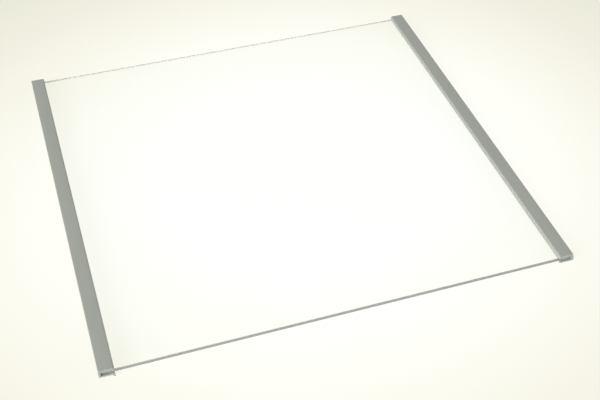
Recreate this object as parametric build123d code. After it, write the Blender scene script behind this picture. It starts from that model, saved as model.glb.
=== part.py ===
from build123d import *
import os

# Refrigerator shelf: a clear glass plate with a grey plastic channel pushed on to its left and right edges.
# Millimetres. +X runs from the left trim to the right one, +Y along the trims to the far edge, and +Z is up.
# The origin is under the middle of the shelf, level with the tip of the left trim's lip.

# Whole shelf
SHELF_WIDTH = 472.4  # from the left trim's outer face to the right trim's foot
TRIM_LENGTH = 445.0

# Glass plate
GLASS_THICKNESS = 4.0
GLASS_INSET = 1.4  # how far the bare edges stay behind the trims' ends
GLASS_CORNER_RADIUS = 2.0
GLASS_ARRIS = 0.5  # ground bevel along every edge

# Channel section, as both trims share it
TRIM_WIDTH = 14.8  # across the top
TOP_WALL = 3.2
BOTTOM_WALL = 1.8
OUTER_WALL = 2.1
OUTER_TOP_RADIUS = 0.8
OUTER_BOTTOM_RADIUS = 1.0
INNER_TOP_RADIUS = 1.8
INNER_BOTTOM_RADIUS = 0.6
SLOT_CORNER_RADIUS = 0.4

# How a channel holds the glass
SEAT_GAP = 0.3  # between the glass edge and the slot's back wall
GRIP_BEAD_HEIGHT = 0.15  # beads along the slot's mouth, which bear on the glass
GRIP_BEAD_WIDTH = 1.6
LEAD_IN = 0.4  # bevel at the mouth that guides the glass in

# Left trim alone: a lip under the inner edge of its lower leg
LIP_DEPTH = 2.7
LIP_ROOT_WIDTH = 2.6
LIP_TIP_WIDTH = 0.9
LIP_TIP_RADIUS = 0.3

# Right trim alone: its outer wall leans out as far down as the slot's floor, and its lower leg is shorter
RIGHT_LEAN = 2.0
RIGHT_WAIST_RADIUS = 1.5  # where the leaning wall turns down to the foot
RIGHT_SETBACK = 1.5

# Levels, from the lip's tip upwards
underside = LIP_DEPTH
slot_floor = underside + BOTTOM_WALL
glass_bottom = slot_floor + GRIP_BEAD_HEIGHT
glass_top = glass_bottom + GLASS_THICKNESS
slot_roof = glass_top + GRIP_BEAD_HEIGHT
trim_top = slot_roof + TOP_WALL

# Glass plate's own place and size, from the channels that hold it
right_roof_lean = RIGHT_LEAN * TOP_WALL / (trim_top - slot_floor)
glass_left = -SHELF_WIDTH / 2 + OUTER_WALL + SEAT_GAP
glass_right = SHELF_WIDTH / 2 - RIGHT_LEAN + right_roof_lean - OUTER_WALL - SEAT_GAP
glass_depth = TRIM_LENGTH - 2 * GLASS_INSET


def glass_panel():
    """Flat plate with small rounded corners and a ground bevel along every edge."""
    outline = RectangleRounded(glass_right - glass_left, glass_depth, GLASS_CORNER_RADIUS)
    plate = Pos((glass_left + glass_right) / 2, 0, glass_bottom) * extrude(outline, GLASS_THICKNESS)
    return chamfer(plate.faces().filter_by(Axis.Z).edges(), GLASS_ARRIS)


def channel_section(lean, roof_lean, lower_edge, inner_foot, outer_foot):
    """Corners of a channel's section, each as distance in from the top's outer edge, height and radius."""
    bead_back = LEAD_IN + GRIP_BEAD_WIDTH
    bead_foot = bead_back + GRIP_BEAD_HEIGHT
    upper_leg = [
        (0, trim_top, OUTER_TOP_RADIUS),
        (TRIM_WIDTH, trim_top, INNER_TOP_RADIUS),
        (TRIM_WIDTH, glass_top + LEAD_IN, 0),
        (TRIM_WIDTH - LEAD_IN, glass_top, 0),
        (TRIM_WIDTH - bead_back, glass_top, 0),
        (TRIM_WIDTH - bead_foot, slot_roof, 0),
    ]
    slot_back = [
        (OUTER_WALL - roof_lean, slot_roof, SLOT_CORNER_RADIUS),
        (OUTER_WALL - lean, slot_floor, SLOT_CORNER_RADIUS),
    ]
    lower_leg = [
        (lower_edge - bead_foot, slot_floor, 0),
        (lower_edge - bead_back, glass_bottom, 0),
        (lower_edge - LEAD_IN, glass_bottom, 0),
        (lower_edge, glass_bottom - LEAD_IN, 0),
    ]
    return upper_leg + slot_back + lower_leg + inner_foot + outer_foot


def trim(side, outer_edge, corners):
    """Extruded channel on the left (side -1) or right (side 1) edge of the glass, open at both ends."""
    points = [(side * (outer_edge - inward), height) for inward, height, radius in corners]
    radii = [radius for inward, height, radius in corners]
    section = make_face(Plane.XZ * FilletPolyline(*points, radius=radii, close=True))
    return extrude(section, TRIM_LENGTH / 2, both=True)


def left_trim():
    """Channel with an upright outer wall, and a lip that hangs from the inner edge of its lower leg."""
    lip = [
        (TRIM_WIDTH, underside - LIP_DEPTH, LIP_TIP_RADIUS),
        (TRIM_WIDTH - LIP_TIP_WIDTH, underside - LIP_DEPTH, LIP_TIP_RADIUS),
        (TRIM_WIDTH - LIP_ROOT_WIDTH, underside, 0),
    ]
    foot = [(0, underside, OUTER_BOTTOM_RADIUS)]
    return trim(-1, SHELF_WIDTH / 2, channel_section(0, 0, TRIM_WIDTH, lip, foot))


def right_trim():
    """Channel with an outer wall that leans out towards its foot, and a lower leg that stops short."""
    lower_edge = TRIM_WIDTH - RIGHT_SETBACK
    plain_edge = [(lower_edge, underside, INNER_BOTTOM_RADIUS)]
    foot = [
        (-RIGHT_LEAN, underside, OUTER_BOTTOM_RADIUS),
        (-RIGHT_LEAN, slot_floor, RIGHT_WAIST_RADIUS),
    ]
    corners = channel_section(RIGHT_LEAN, right_roof_lean, lower_edge, plain_edge, foot)
    return trim(1, SHELF_WIDTH / 2 - RIGHT_LEAN, corners)


os.makedirs("parts", exist_ok=True)
export_step(glass_panel(), "parts/glass_panel.step")
export_step(left_trim(), "parts/left_trim.step")
export_step(right_trim(), "parts/right_trim.step")
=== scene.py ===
import math

import bmesh
import bpy
from mathutils import Matrix, Vector


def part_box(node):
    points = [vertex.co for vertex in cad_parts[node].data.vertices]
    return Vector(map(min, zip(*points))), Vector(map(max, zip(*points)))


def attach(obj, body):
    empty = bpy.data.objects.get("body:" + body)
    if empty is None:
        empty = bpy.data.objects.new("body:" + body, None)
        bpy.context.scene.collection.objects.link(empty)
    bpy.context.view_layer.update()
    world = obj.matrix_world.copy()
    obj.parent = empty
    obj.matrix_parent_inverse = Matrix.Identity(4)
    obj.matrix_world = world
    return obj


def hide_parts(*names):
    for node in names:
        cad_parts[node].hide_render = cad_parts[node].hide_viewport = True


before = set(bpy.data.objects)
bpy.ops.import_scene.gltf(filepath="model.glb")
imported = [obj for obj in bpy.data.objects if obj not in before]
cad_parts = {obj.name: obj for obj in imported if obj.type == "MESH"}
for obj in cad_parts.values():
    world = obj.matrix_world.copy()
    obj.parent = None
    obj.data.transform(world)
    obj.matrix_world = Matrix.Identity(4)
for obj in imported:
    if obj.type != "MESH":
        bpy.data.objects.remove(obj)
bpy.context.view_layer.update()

# Looks of a refrigerator shelf: a clear glass plate between two grey extruded trims, on a pale floor.
# Metres. The places and overall sizes come from the frame, and the values below describe the details.
MM = 0.001
glass_low, glass_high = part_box("glass_panel")
left_low, left_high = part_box("left_trim")
right_low, right_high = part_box("right_trim")

# Channel section, measured in from the outer edge of a trim's top
trim_width = left_high.x - left_low.x
trim_top = left_high.z
underside = right_low.z
lip_tip = left_low.z
GRIP_BEAD_HEIGHT = 0.15 * MM
slot_roof = glass_high.z + GRIP_BEAD_HEIGHT
slot_floor = glass_low.z - GRIP_BEAD_HEIGHT
OUTER_WALL = 2.1 * MM
OUTER_TOP_RADIUS = 0.8 * MM
OUTER_BOTTOM_RADIUS = 1.0 * MM
INNER_TOP_RADIUS = 1.8 * MM
INNER_BOTTOM_RADIUS = 0.6 * MM
SLOT_CORNER_RADIUS = 0.4 * MM
GRIP_BEAD_WIDTH = 1.6 * MM
LEAD_IN = 0.4 * MM
LIP_ROOT_WIDTH = 2.6 * MM
LIP_TIP_WIDTH = 0.9 * MM
LIP_TIP_RADIUS = 0.3 * MM
RIGHT_LEAN = 2.0 * MM  # how far the right trim's outer wall leans out on its way down to the slot's floor
RIGHT_WAIST_RADIUS = 1.5 * MM
RIGHT_SETBACK = 1.5 * MM  # how far its lower leg stops short of the upper one
CUT_BREAK = 0.2 * MM  # the knife-trimmed edge round each sawn end
RING_SPACING = 9 * MM

# Glass plate
GLASS_CORNER_RADIUS = 2.0 * MM
GLASS_ARRIS = 0.5 * MM
ARRIS_ROUNDING = 0.12 * MM
SKIN_GAP = 0.01 * MM  # keeps the glass just clear of the beads that bear on it

# How finely the meshes follow the shapes
ARC_STEP = math.radians(9)
SHARP_ANGLE = math.radians(28)  # edges that turn more than this stay crisp
LEAST_MITRE = 0.3  # keeps an inset corner from being thrown far in

# Materials: linear colours, detail as cycles per metre along X, Y and Z, relief as depth and strength
PLASTIC_TONES = (0.331, 0.346, 0.311, 1), (0.348, 0.363, 0.327, 1)
PLASTIC_TONE_DETAIL = (45, 14, 45)
PLASTIC_GRAIN_DETAIL = (5200, 5200, 5200)
PLASTIC_GRAIN_RELIEF = 0.02 * MM, 0.5
PLASTIC_ROUGHNESS = 0.46, 0.56
PLASTIC_IOR = 1.47
DIE_LINE_COLOUR = (0.27, 0.285, 0.255, 1)
DIE_LINE_SHARE = 0.0, 0.16
DIE_LINE_DETAIL = (2600, 9, 2600)
DIE_LINE_RELIEF = 0.03 * MM, 0.5

SAWN_TONES = (0.31, 0.325, 0.29, 1), (0.36, 0.375, 0.34, 1)
SAWN_GRAIN_DETAIL = (6000, 6000, 6000)
SAWN_GRAIN_RELIEF = 0.02 * MM, 0.6
SAWN_ROUGHNESS = 0.6, 0.72
SAW_MARK_DETAIL = (260, 1, 3400)
SAW_MARK_RELIEF = 0.06 * MM, 0.7

GLASS_TINT = (0.985, 0.995, 0.985, 1)
GLASS_IOR = 1.52
ROLLER_WAVE_DETAIL = (0.8, 5, 1)
ROLLER_WAVE_RELIEF = 0.08 * MM, 1.0

GROUND_TONES = (0.44, 0.47, 0.42, 1), (0.52, 0.55, 0.49, 1)
GROUND_GRAIN_DETAIL = (3600, 3600, 3600)
GROUND_GRAIN_RELIEF = 0.03 * MM, 0.5
GROUND_ROUGHNESS = 0.42, 0.55
GROUND_CLARITY = 0.5  # how much of the light passes through the satin edge
WHEEL_MARK_DETAIL = (60, 60, 4200)
WHEEL_MARK_RELIEF = 0.03 * MM, 0.5

FULL_SPREAD = 0.0, 1.0
NOISE_MIDDLE = 0.25, 0.75  # the stretch in which most of a noise's values lie
FINE = 3  # layers of a fine noise, of a broad one and of a smooth one
BROAD = 2
SMOOTH = 0

# Camera, as the photograph was taken
CAMERA_POSITION = Vector((-0.24502, -0.799505, 0.74118))
CAMERA_TURN = math.radians(-18.63)
CAMERA_TILT = math.radians(46.654)
CAMERA_ROLL = math.radians(0.678)
CAMERA_LENS = 61.517  # in millimetres, on a sensor of the width below
CAMERA_SENSOR = 36
CAMERA_NEAREST = 0.01
CAMERA_FURTHEST = 50

# Lamps: turned from straight in front, raised from the floor, and with levels that hold at any distance
LAMP_DISTANCE = 4.0
LAMP_SIZE = 2.4
LEFT_TURN = math.radians(-65)
LEFT_RISE = math.radians(18)
LEFT_LEVEL = 1.36
RIGHT_TURN = math.radians(70)
RIGHT_RISE = math.radians(15)
RIGHT_LEVEL = 0.55
FILL_LEVEL = 0.45
WHITE = (1, 1, 1, 1)

# Floor and backdrop: a painted pool of light, white round the shelf, cream further out
FLOOR_HALF = 4.0
FLOOR_BOUNCE = (0.88, 0.88, 0.88, 1)  # what the floor throws back on to the shelf
FLOOR_GLOW = 0.93
FLOOR_SHADED = (0.12, 0.12, 0.12, 1)  # the share of its look that takes the shelf's shadow
LIGHT_POOL_MIDDLE = (0.02, -0.02, 0)
LIGHT_POOL_STRETCH = (1.06, 1, 1)
PAINTED_LIGHT_POOL_TONES = [  # painted pool of light: colour at each distance from the pool's middle, white near it and dimmer further out
    (0.15, WHITE),
    (0.25, (0.975, 0.97, 0.89, 1)),
    (0.33, (0.905, 0.895, 0.785, 1)),
    (0.41, (0.83, 0.82, 0.70, 1)),
    (0.50, (0.77, 0.765, 0.64, 1)),
]
BACKDROP = (0.84, 0.835, 0.72, 1)
FADE_START = 0.5  # where the floor begins to fade into the backdrop
FADE_END = 0.9


def turned(vector):
    """The vector a quarter turn to its left."""
    return Vector((-vector.y, vector.x))


def rounded_outline(corners):
    """Closed outline through corners (x, y, radius), with each radius as an arc."""
    outline = []
    for index, (x, y, radius) in enumerate(corners):
        corner = Vector((x, y))
        before = (Vector(corners[index - 1][:2]) - corner).normalized()
        after = (Vector(corners[(index + 1) % len(corners)][:2]) - corner).normalized()
        if radius == 0:
            outline.append(corner)
            continue
        turn = math.pi - before.angle(after)
        reach = radius * math.tan(turn / 2)
        centre = corner + (before + after).normalized() * (radius / math.cos(turn / 2))
        start = corner + before * reach - centre
        steps = max(2, math.ceil(turn / ARC_STEP))
        way = 1 if start.x * (corner - centre).y - start.y * (corner - centre).x > 0 else -1
        for step in range(steps + 1):
            outline.append(centre + Matrix.Rotation(way * turn * step / steps, 2) @ start)
    return outline


def signed_area(outline):
    """Area of a closed outline, positive if it runs anticlockwise."""
    following = outline[1:] + outline[:1]
    return sum(a.x * b.y - a.y * b.x for a, b in zip(outline, following)) / 2


def inset_outline(outline, distance):
    """The outline moved inwards by distance, point for point."""
    side = 1 if signed_area(outline) > 0 else -1
    moved = []
    for index, point in enumerate(outline):
        into = (point - outline[index - 1]).normalized()
        out = (outline[(index + 1) % len(outline)] - point).normalized()
        normal = (turned(into) + turned(out)).normalized() * side
        moved.append(point + normal * (distance / max(LEAST_MITRE, normal.dot(turned(into) * side))))
    return moved


def stitched(mesh, rings, slots):
    """Quads between neighbouring rings of vertices, each band with its material slot."""
    for lower, upper, slot in zip(rings, rings[1:], slots):
        for index in range(len(lower)):
            quad = (lower[index - 1], lower[index], upper[index], upper[index - 1])
            mesh.faces.new(quad).material_index = slot


def capped(mesh, rings, slot):
    """Flat faces that close the first and last ring."""
    for ring in (rings[0], rings[-1]):
        mesh.faces.new(ring).material_index = slot


def piece_from(mesh, name, materials):
    """Object of that name from a finished bmesh, smooth apart from its sharp edges."""
    bmesh.ops.recalc_face_normals(mesh, faces=mesh.faces)
    data = bpy.data.meshes.new(name)
    mesh.to_mesh(data)
    mesh.free()
    for material in materials:
        data.materials.append(material)
    data.shade_smooth()
    data.set_sharp_from_angle(angle=SHARP_ANGLE)
    piece = bpy.data.objects.new(name, data)
    bpy.context.scene.collection.objects.link(piece)
    return piece


def channel_section(lean, lower_edge, inner_foot, outer_foot):
    """Corners of a trim's section as (distance in from the top's outer edge, height, radius)."""
    roof_lean = lean * (trim_top - slot_roof) / (trim_top - slot_floor)
    bead_back = LEAD_IN + GRIP_BEAD_WIDTH
    bead_foot = bead_back + GRIP_BEAD_HEIGHT
    upper_leg = [
        (0, trim_top, OUTER_TOP_RADIUS),
        (trim_width, trim_top, INNER_TOP_RADIUS),
        (trim_width, glass_high.z + LEAD_IN, 0),
        (trim_width - LEAD_IN, glass_high.z, 0),
        (trim_width - bead_back, glass_high.z, 0),
        (trim_width - bead_foot, slot_roof, 0),
    ]
    slot_back = [
        (OUTER_WALL - roof_lean, slot_roof, SLOT_CORNER_RADIUS),
        (OUTER_WALL - lean, slot_floor, SLOT_CORNER_RADIUS),
    ]
    lower_leg = [
        (lower_edge - bead_foot, slot_floor, 0),
        (lower_edge - bead_back, glass_low.z, 0),
        (lower_edge - LEAD_IN, glass_low.z, 0),
        (lower_edge, glass_low.z - LEAD_IN, 0),
    ]
    return upper_leg + slot_back + lower_leg + inner_foot + outer_foot


def left_section():
    """Upright outer wall, and a lip under the inner edge of the lower leg."""
    lip = [
        (trim_width, lip_tip, LIP_TIP_RADIUS),
        (trim_width - LIP_TIP_WIDTH, lip_tip, LIP_TIP_RADIUS),
        (trim_width - LIP_ROOT_WIDTH, underside, 0),
    ]
    foot = [(0, underside, OUTER_BOTTOM_RADIUS)]
    return channel_section(0, trim_width, lip, foot)


def right_section():
    """Outer wall that leans out towards its foot, and a lower leg that stops short."""
    lower_edge = trim_width - RIGHT_SETBACK
    plain_edge = [(lower_edge, underside, INNER_BOTTOM_RADIUS)]
    foot = [
        (-RIGHT_LEAN, underside, OUTER_BOTTOM_RADIUS),
        (-RIGHT_LEAN, slot_floor, RIGHT_WAIST_RADIUS),
    ]
    return channel_section(RIGHT_LEAN, lower_edge, plain_edge, foot)


def trim(name, outer_x, inward, corners, materials):
    """Extruded channel between the ends of its CAD node, with its sawn ends trimmed."""
    low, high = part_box(name)
    section = rounded_outline(corners)
    sawn = inset_outline(section, CUT_BREAK)
    count = math.ceil((high.y - low.y) / RING_SPACING)
    span = high.y - low.y - 2 * CUT_BREAK
    stations = [low.y + CUT_BREAK + span * step / count for step in range(count + 1)]
    outlines = [(low.y, sawn)] + [(y, section) for y in stations] + [(high.y, sawn)]
    mesh = bmesh.new()
    rings = []
    for y, outline in outlines:
        rings.append([mesh.verts.new((outer_x + inward * p.x, y, p.y)) for p in outline])
    stitched(mesh, rings, [1] + [0] * count + [1])
    capped(mesh, rings, 1)
    piece = piece_from(mesh, name + "_skin", materials)
    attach(piece, "root")
    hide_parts(name)


def plate_outline(inset):
    """Rounded rectangle of the glass, drawn in by inset, as an outline with the same count of points."""
    radius = GLASS_CORNER_RADIUS - inset
    return rounded_outline([
        (glass_low.x + inset, glass_low.y + inset, radius),
        (glass_high.x - inset, glass_low.y + inset, radius),
        (glass_high.x - inset, glass_high.y - inset, radius),
        (glass_low.x + inset, glass_high.y - inset, radius),
    ])


def glass_plate(materials):
    """Plate with polished faces, and a ground edge with a bevel above and below."""
    bottom = glass_low.z + SKIN_GAP
    top = glass_high.z - SKIN_GAP
    edge = rounded_outline([
        (2 * GLASS_ARRIS, bottom, 0),
        (GLASS_ARRIS, bottom, ARRIS_ROUNDING),
        (0, bottom + GLASS_ARRIS, ARRIS_ROUNDING),
        (0, top - GLASS_ARRIS, ARRIS_ROUNDING),
        (GLASS_ARRIS, top, ARRIS_ROUNDING),
        (2 * GLASS_ARRIS, top, 0),
    ])
    mesh = bmesh.new()
    rings = []
    for point in edge:
        rings.append([mesh.verts.new((p.x, p.y, point.y)) for p in plate_outline(point.x)])
    ground_bands = len(rings) - 3
    stitched(mesh, rings, [0] + [1] * ground_bands + [0])
    capped(mesh, rings, 0)
    piece = piece_from(mesh, "glass_plate", materials)
    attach(piece, "root")
    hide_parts("glass_panel")
    piece.visible_shadow = False  # lamp and room light pass straight through clear glass
    piece.visible_diffuse = False


class Nodes:
    """A material's or world's node tree, with short calls to add and join nodes."""

    def __init__(self, owner):
        owner.use_nodes = True
        self.tree = owner.node_tree
        self.tree.nodes.clear()

    def add(self, kind, settings=(), **inputs):
        """New node, with its settings and with its inputs by name, a space written as _."""
        node = self.tree.nodes.new(kind)
        for name, value in dict(settings).items():
            setattr(node, name, value)
        for name, value in inputs.items():
            self.feed(node.inputs[name.replace("_", " ")], value)
        return node

    def feed(self, socket, value):
        """Link a socket to another one, or set its own value."""
        if isinstance(value, bpy.types.NodeSocket):
            self.tree.links.new(value, socket)
        else:
            socket.default_value = value

    def place(self):
        """Coordinates on the object, in metres."""
        return self.add("ShaderNodeTexCoord").outputs["Object"]

    def noise(self, coordinates, detail, layers):
        """Noise from 0 to 1, with its detail in cycles per metre along each axis."""
        stretched = self.add("ShaderNodeMapping", Vector=coordinates, Scale=detail).outputs[0]
        return self.add("ShaderNodeTexNoise", Vector=stretched, Scale=1.0, Detail=layers).outputs["Fac"]

    def spread(self, noise, ends):
        """A noise moved to run from one end to the other over its middle stretch."""
        node = self.add("ShaderNodeMapRange", Value=noise)
        for name, value in zip(("From Min", "From Max", "To Min", "To Max"), NOISE_MIDDLE + ends):
            node.inputs[name].default_value = value
        return node.outputs[0]

    def blend(self, factor, low, high):
        """Colour that goes from low to high with factor."""
        node = self.add("ShaderNodeMix", {"data_type": "RGBA"})
        colours = [socket for socket in node.inputs if socket.type == "RGBA"]
        self.feed(node.inputs["Factor"], factor)
        self.feed(colours[0], low)
        self.feed(colours[1], high)
        return [socket for socket in node.outputs if socket.type == "RGBA"][0]

    def bump(self, height, relief, normal=None):
        """Normal raised by a height, on top of an earlier normal if there is one."""
        depth, strength = relief
        node = self.add("ShaderNodeBump", Height=height, Distance=depth, Strength=strength)
        if normal is not None:
            self.feed(node.inputs["Normal"], normal)
        return node.outputs[0]

    def highest(self, first, second):
        """The greater of two values."""
        node = self.add("ShaderNodeMath", {"operation": "MAXIMUM"})
        self.feed(node.inputs[0], first)
        self.feed(node.inputs[1], second)
        return node.outputs[0]

    def added(self, first, second):
        """Sum of two shaders."""
        node = self.add("ShaderNodeAddShader")
        self.feed(node.inputs[0], first.outputs[0])
        self.feed(node.inputs[1], second.outputs[0])
        return node

    def mixed(self, factor, first, second):
        """Shader that goes from the first to the second with factor."""
        node = self.add("ShaderNodeMixShader")
        self.feed(node.inputs[0], factor)
        self.feed(node.inputs[1], first.outputs[0])
        self.feed(node.inputs[2], second.outputs[0])
        return node

    def output(self, kind, shader):
        """The tree's output, fed by a finished shader."""
        self.add(kind, Surface=shader.outputs[0])


def new_material(name):
    """Material of that name, with its empty node tree."""
    material = bpy.data.materials.new(name)
    return material, Nodes(material)


def trim_plastic():
    """Grey satin plastic with the faint lengthwise lines of its extrusion die."""
    material, nodes = new_material("trim_plastic")
    place = nodes.place()
    die_lines = nodes.noise(place, DIE_LINE_DETAIL, FINE)
    tone = nodes.noise(place, PLASTIC_TONE_DETAIL, BROAD)
    grain = nodes.noise(place, PLASTIC_GRAIN_DETAIL, FINE)
    colour = nodes.blend(nodes.spread(tone, FULL_SPREAD), *PLASTIC_TONES)
    colour = nodes.blend(nodes.spread(die_lines, DIE_LINE_SHARE), colour, DIE_LINE_COLOUR)
    relief = nodes.bump(grain, PLASTIC_GRAIN_RELIEF)
    relief = nodes.bump(die_lines, DIE_LINE_RELIEF, relief)
    roughness = nodes.spread(die_lines, PLASTIC_ROUGHNESS)
    shader = nodes.add("ShaderNodeBsdfPrincipled", Base_Color=colour, Roughness=roughness, Normal=relief)
    shader.inputs["IOR"].default_value = PLASTIC_IOR
    nodes.output("ShaderNodeOutputMaterial", shader)
    return material


def sawn_plastic():
    """The rougher, streaked face that a saw leaves across the end of a trim."""
    material, nodes = new_material("sawn_plastic")
    place = nodes.place()
    saw_marks = nodes.noise(place, SAW_MARK_DETAIL, FINE)
    grain = nodes.noise(place, SAWN_GRAIN_DETAIL, FINE)
    colour = nodes.blend(nodes.spread(saw_marks, FULL_SPREAD), *SAWN_TONES)
    relief = nodes.bump(grain, SAWN_GRAIN_RELIEF)
    relief = nodes.bump(saw_marks, SAW_MARK_RELIEF, relief)
    roughness = nodes.spread(saw_marks, SAWN_ROUGHNESS)
    shader = nodes.add("ShaderNodeBsdfPrincipled", Base_Color=colour, Roughness=roughness, Normal=relief)
    nodes.output("ShaderNodeOutputMaterial", shader)
    return material


def polished_glass():
    """Clear toughened glass, with its slight green cast and the faint waves of the furnace rollers."""
    material, nodes = new_material("polished_glass")
    waves = nodes.noise(nodes.place(), ROLLER_WAVE_DETAIL, SMOOTH)
    relief = nodes.bump(waves, ROLLER_WAVE_RELIEF)
    shader = nodes.add("ShaderNodeBsdfPrincipled", Base_Color=GLASS_TINT, Roughness=0.0, Normal=relief)
    shader.inputs["IOR"].default_value = GLASS_IOR
    shader.inputs["Transmission Weight"].default_value = 1.0
    nodes.output("ShaderNodeOutputMaterial", shader)
    return material


def ground_glass():
    """Satin edge of the plate, with fine wheel marks along it."""
    material, nodes = new_material("ground_glass")
    place = nodes.place()
    wheel_marks = nodes.noise(place, WHEEL_MARK_DETAIL, FINE)
    grain = nodes.noise(place, GROUND_GRAIN_DETAIL, FINE)
    colour = nodes.blend(nodes.spread(grain, FULL_SPREAD), *GROUND_TONES)
    relief = nodes.bump(grain, GROUND_GRAIN_RELIEF)
    relief = nodes.bump(wheel_marks, WHEEL_MARK_RELIEF, relief)
    roughness = nodes.spread(wheel_marks, GROUND_ROUGHNESS)
    shader = nodes.add("ShaderNodeBsdfPrincipled", Base_Color=colour, Roughness=roughness, Normal=relief)
    shader.inputs["IOR"].default_value = GLASS_IOR
    shader.inputs["Transmission Weight"].default_value = GROUND_CLARITY
    nodes.output("ShaderNodeOutputMaterial", shader)
    return material


def seen_rays(nodes):
    """1 on rays that show the background: from the camera, a reflection or through glass."""
    path = nodes.add("ShaderNodeLightPath").outputs
    direct = nodes.highest(path["Is Camera Ray"], path["Is Glossy Ray"])
    return nodes.highest(direct, path["Is Transmission Ray"])


def painted_light_pool_tone(nodes, away):
    """Painted pool of light on the floor: colour by its distance from the pool's middle."""
    ramp = nodes.add("ShaderNodeValToRGB", Fac=away)
    stops = ramp.color_ramp.elements
    while len(stops) < len(PAINTED_LIGHT_POOL_TONES):
        stops.new(1.0)
    for stop, (distance, colour) in zip(stops, PAINTED_LIGHT_POOL_TONES):
        stop.position = distance
        stop.color = colour
    return ramp.outputs[0]


def pale_floor():
    """Table top with a painted white pool of light that keeps a faint real shadow, and cream further out.
    """
    material, nodes = new_material("pale_floor")
    light_pool = nodes.add("ShaderNodeMapping", {"vector_type": "TEXTURE"}, Vector=nodes.place())
    light_pool.inputs["Location"].default_value = LIGHT_POOL_MIDDLE
    light_pool.inputs["Scale"].default_value = LIGHT_POOL_STRETCH
    length = nodes.add("ShaderNodeVectorMath", {"operation": "LENGTH"}, Vector=light_pool.outputs[0])
    away = length.outputs["Value"]
    # the seen floor glows with the painted pool of light: white near the shelf, dimmer cream further out
    glow = nodes.add("ShaderNodeEmission", Color=painted_light_pool_tone(nodes, away), Strength=FLOOR_GLOW)
    shaded = nodes.add("ShaderNodeBsdfDiffuse", Color=FLOOR_SHADED)
    distant = nodes.add("ShaderNodeEmission", Color=BACKDROP)
    fade = nodes.add("ShaderNodeMapRange", Value=away, From_Min=FADE_START, From_Max=FADE_END)
    seen = nodes.mixed(fade.outputs[0], nodes.added(glow, shaded), distant)
    bounce = nodes.add("ShaderNodeBsdfDiffuse", Color=FLOOR_BOUNCE)
    nodes.output("ShaderNodeOutputMaterial", nodes.mixed(seen_rays(nodes), bounce, seen))
    return material


def floor():
    """Floor through the two lines that the shelf rests on: its lip and the right trim's outer foot."""
    lip_x = left_high.x - LIP_TIP_WIDTH / 2
    foot_x = right_high.x - OUTER_BOTTOM_RADIUS
    slope = (underside - lip_tip) / (foot_x - lip_x)
    corners = [(x * FLOOR_HALF, y * FLOOR_HALF) for x, y in ((-1, -1), (1, -1), (1, 1), (-1, 1))]
    data = bpy.data.meshes.new("floor")
    data.from_pydata([(x, y, lip_tip + slope * (x - lip_x)) for x, y in corners], [], [(0, 1, 2, 3)])
    data.materials.append(pale_floor())
    table = bpy.data.objects.new("floor", data)
    bpy.context.scene.collection.objects.link(table)


def soft_lamp(name, turn, rise, level):
    """Broad lamp that faces the shelf, at the lamps' distance from its middle."""
    lamp = bpy.data.lights.new(name, "AREA")
    lamp.size = LAMP_SIZE
    lamp.energy = level * (math.pi * LAMP_DISTANCE) ** 2
    lit = bpy.data.objects.new(name, lamp)
    away = Vector((math.sin(turn) * math.cos(rise), -math.cos(turn) * math.cos(rise), math.sin(rise)))
    lit.location = away * LAMP_DISTANCE
    lit.rotation_euler = away.to_track_quat("Z", "Y").to_euler()
    bpy.context.scene.collection.objects.link(lit)


def lights():
    """Soft lamps from both sides, the left one stronger, and even fill from all round."""
    soft_lamp("left_lamp", LEFT_TURN, LEFT_RISE, LEFT_LEVEL)
    soft_lamp("right_lamp", RIGHT_TURN, RIGHT_RISE, RIGHT_LEVEL)
    world = bpy.data.worlds.new("studio")
    bpy.context.scene.world = world
    nodes = Nodes(world)
    fill = nodes.add("ShaderNodeBackground", Color=WHITE, Strength=FILL_LEVEL)
    backdrop = nodes.add("ShaderNodeBackground", Color=BACKDROP)
    nodes.output("ShaderNodeOutputWorld", nodes.mixed(seen_rays(nodes), fill, backdrop))


def camera():
    """Camera at the photograph's viewing angle."""
    data = bpy.data.cameras.new("camera")
    data.lens = CAMERA_LENS
    data.sensor_width = CAMERA_SENSOR
    data.clip_start = CAMERA_NEAREST
    data.clip_end = CAMERA_FURTHEST
    view = bpy.data.objects.new("camera", data)
    turn = Matrix.Rotation(CAMERA_TURN, 4, "Z")
    tilt = Matrix.Rotation(CAMERA_TILT, 4, "X")
    roll = Matrix.Rotation(CAMERA_ROLL, 4, "Z")
    view.matrix_world = Matrix.Translation(CAMERA_POSITION) @ turn @ tilt @ roll
    bpy.context.scene.collection.objects.link(view)
    bpy.context.scene.camera = view


plastic = [trim_plastic(), sawn_plastic()]
trim("left_trim", left_low.x, 1, left_section(), plastic)
trim("right_trim", right_high.x - RIGHT_LEAN, -1, right_section(), plastic)
glass_plate([polished_glass(), ground_glass()])
floor()
lights()
camera()
bpy.context.scene.view_settings.view_transform = "Standard"
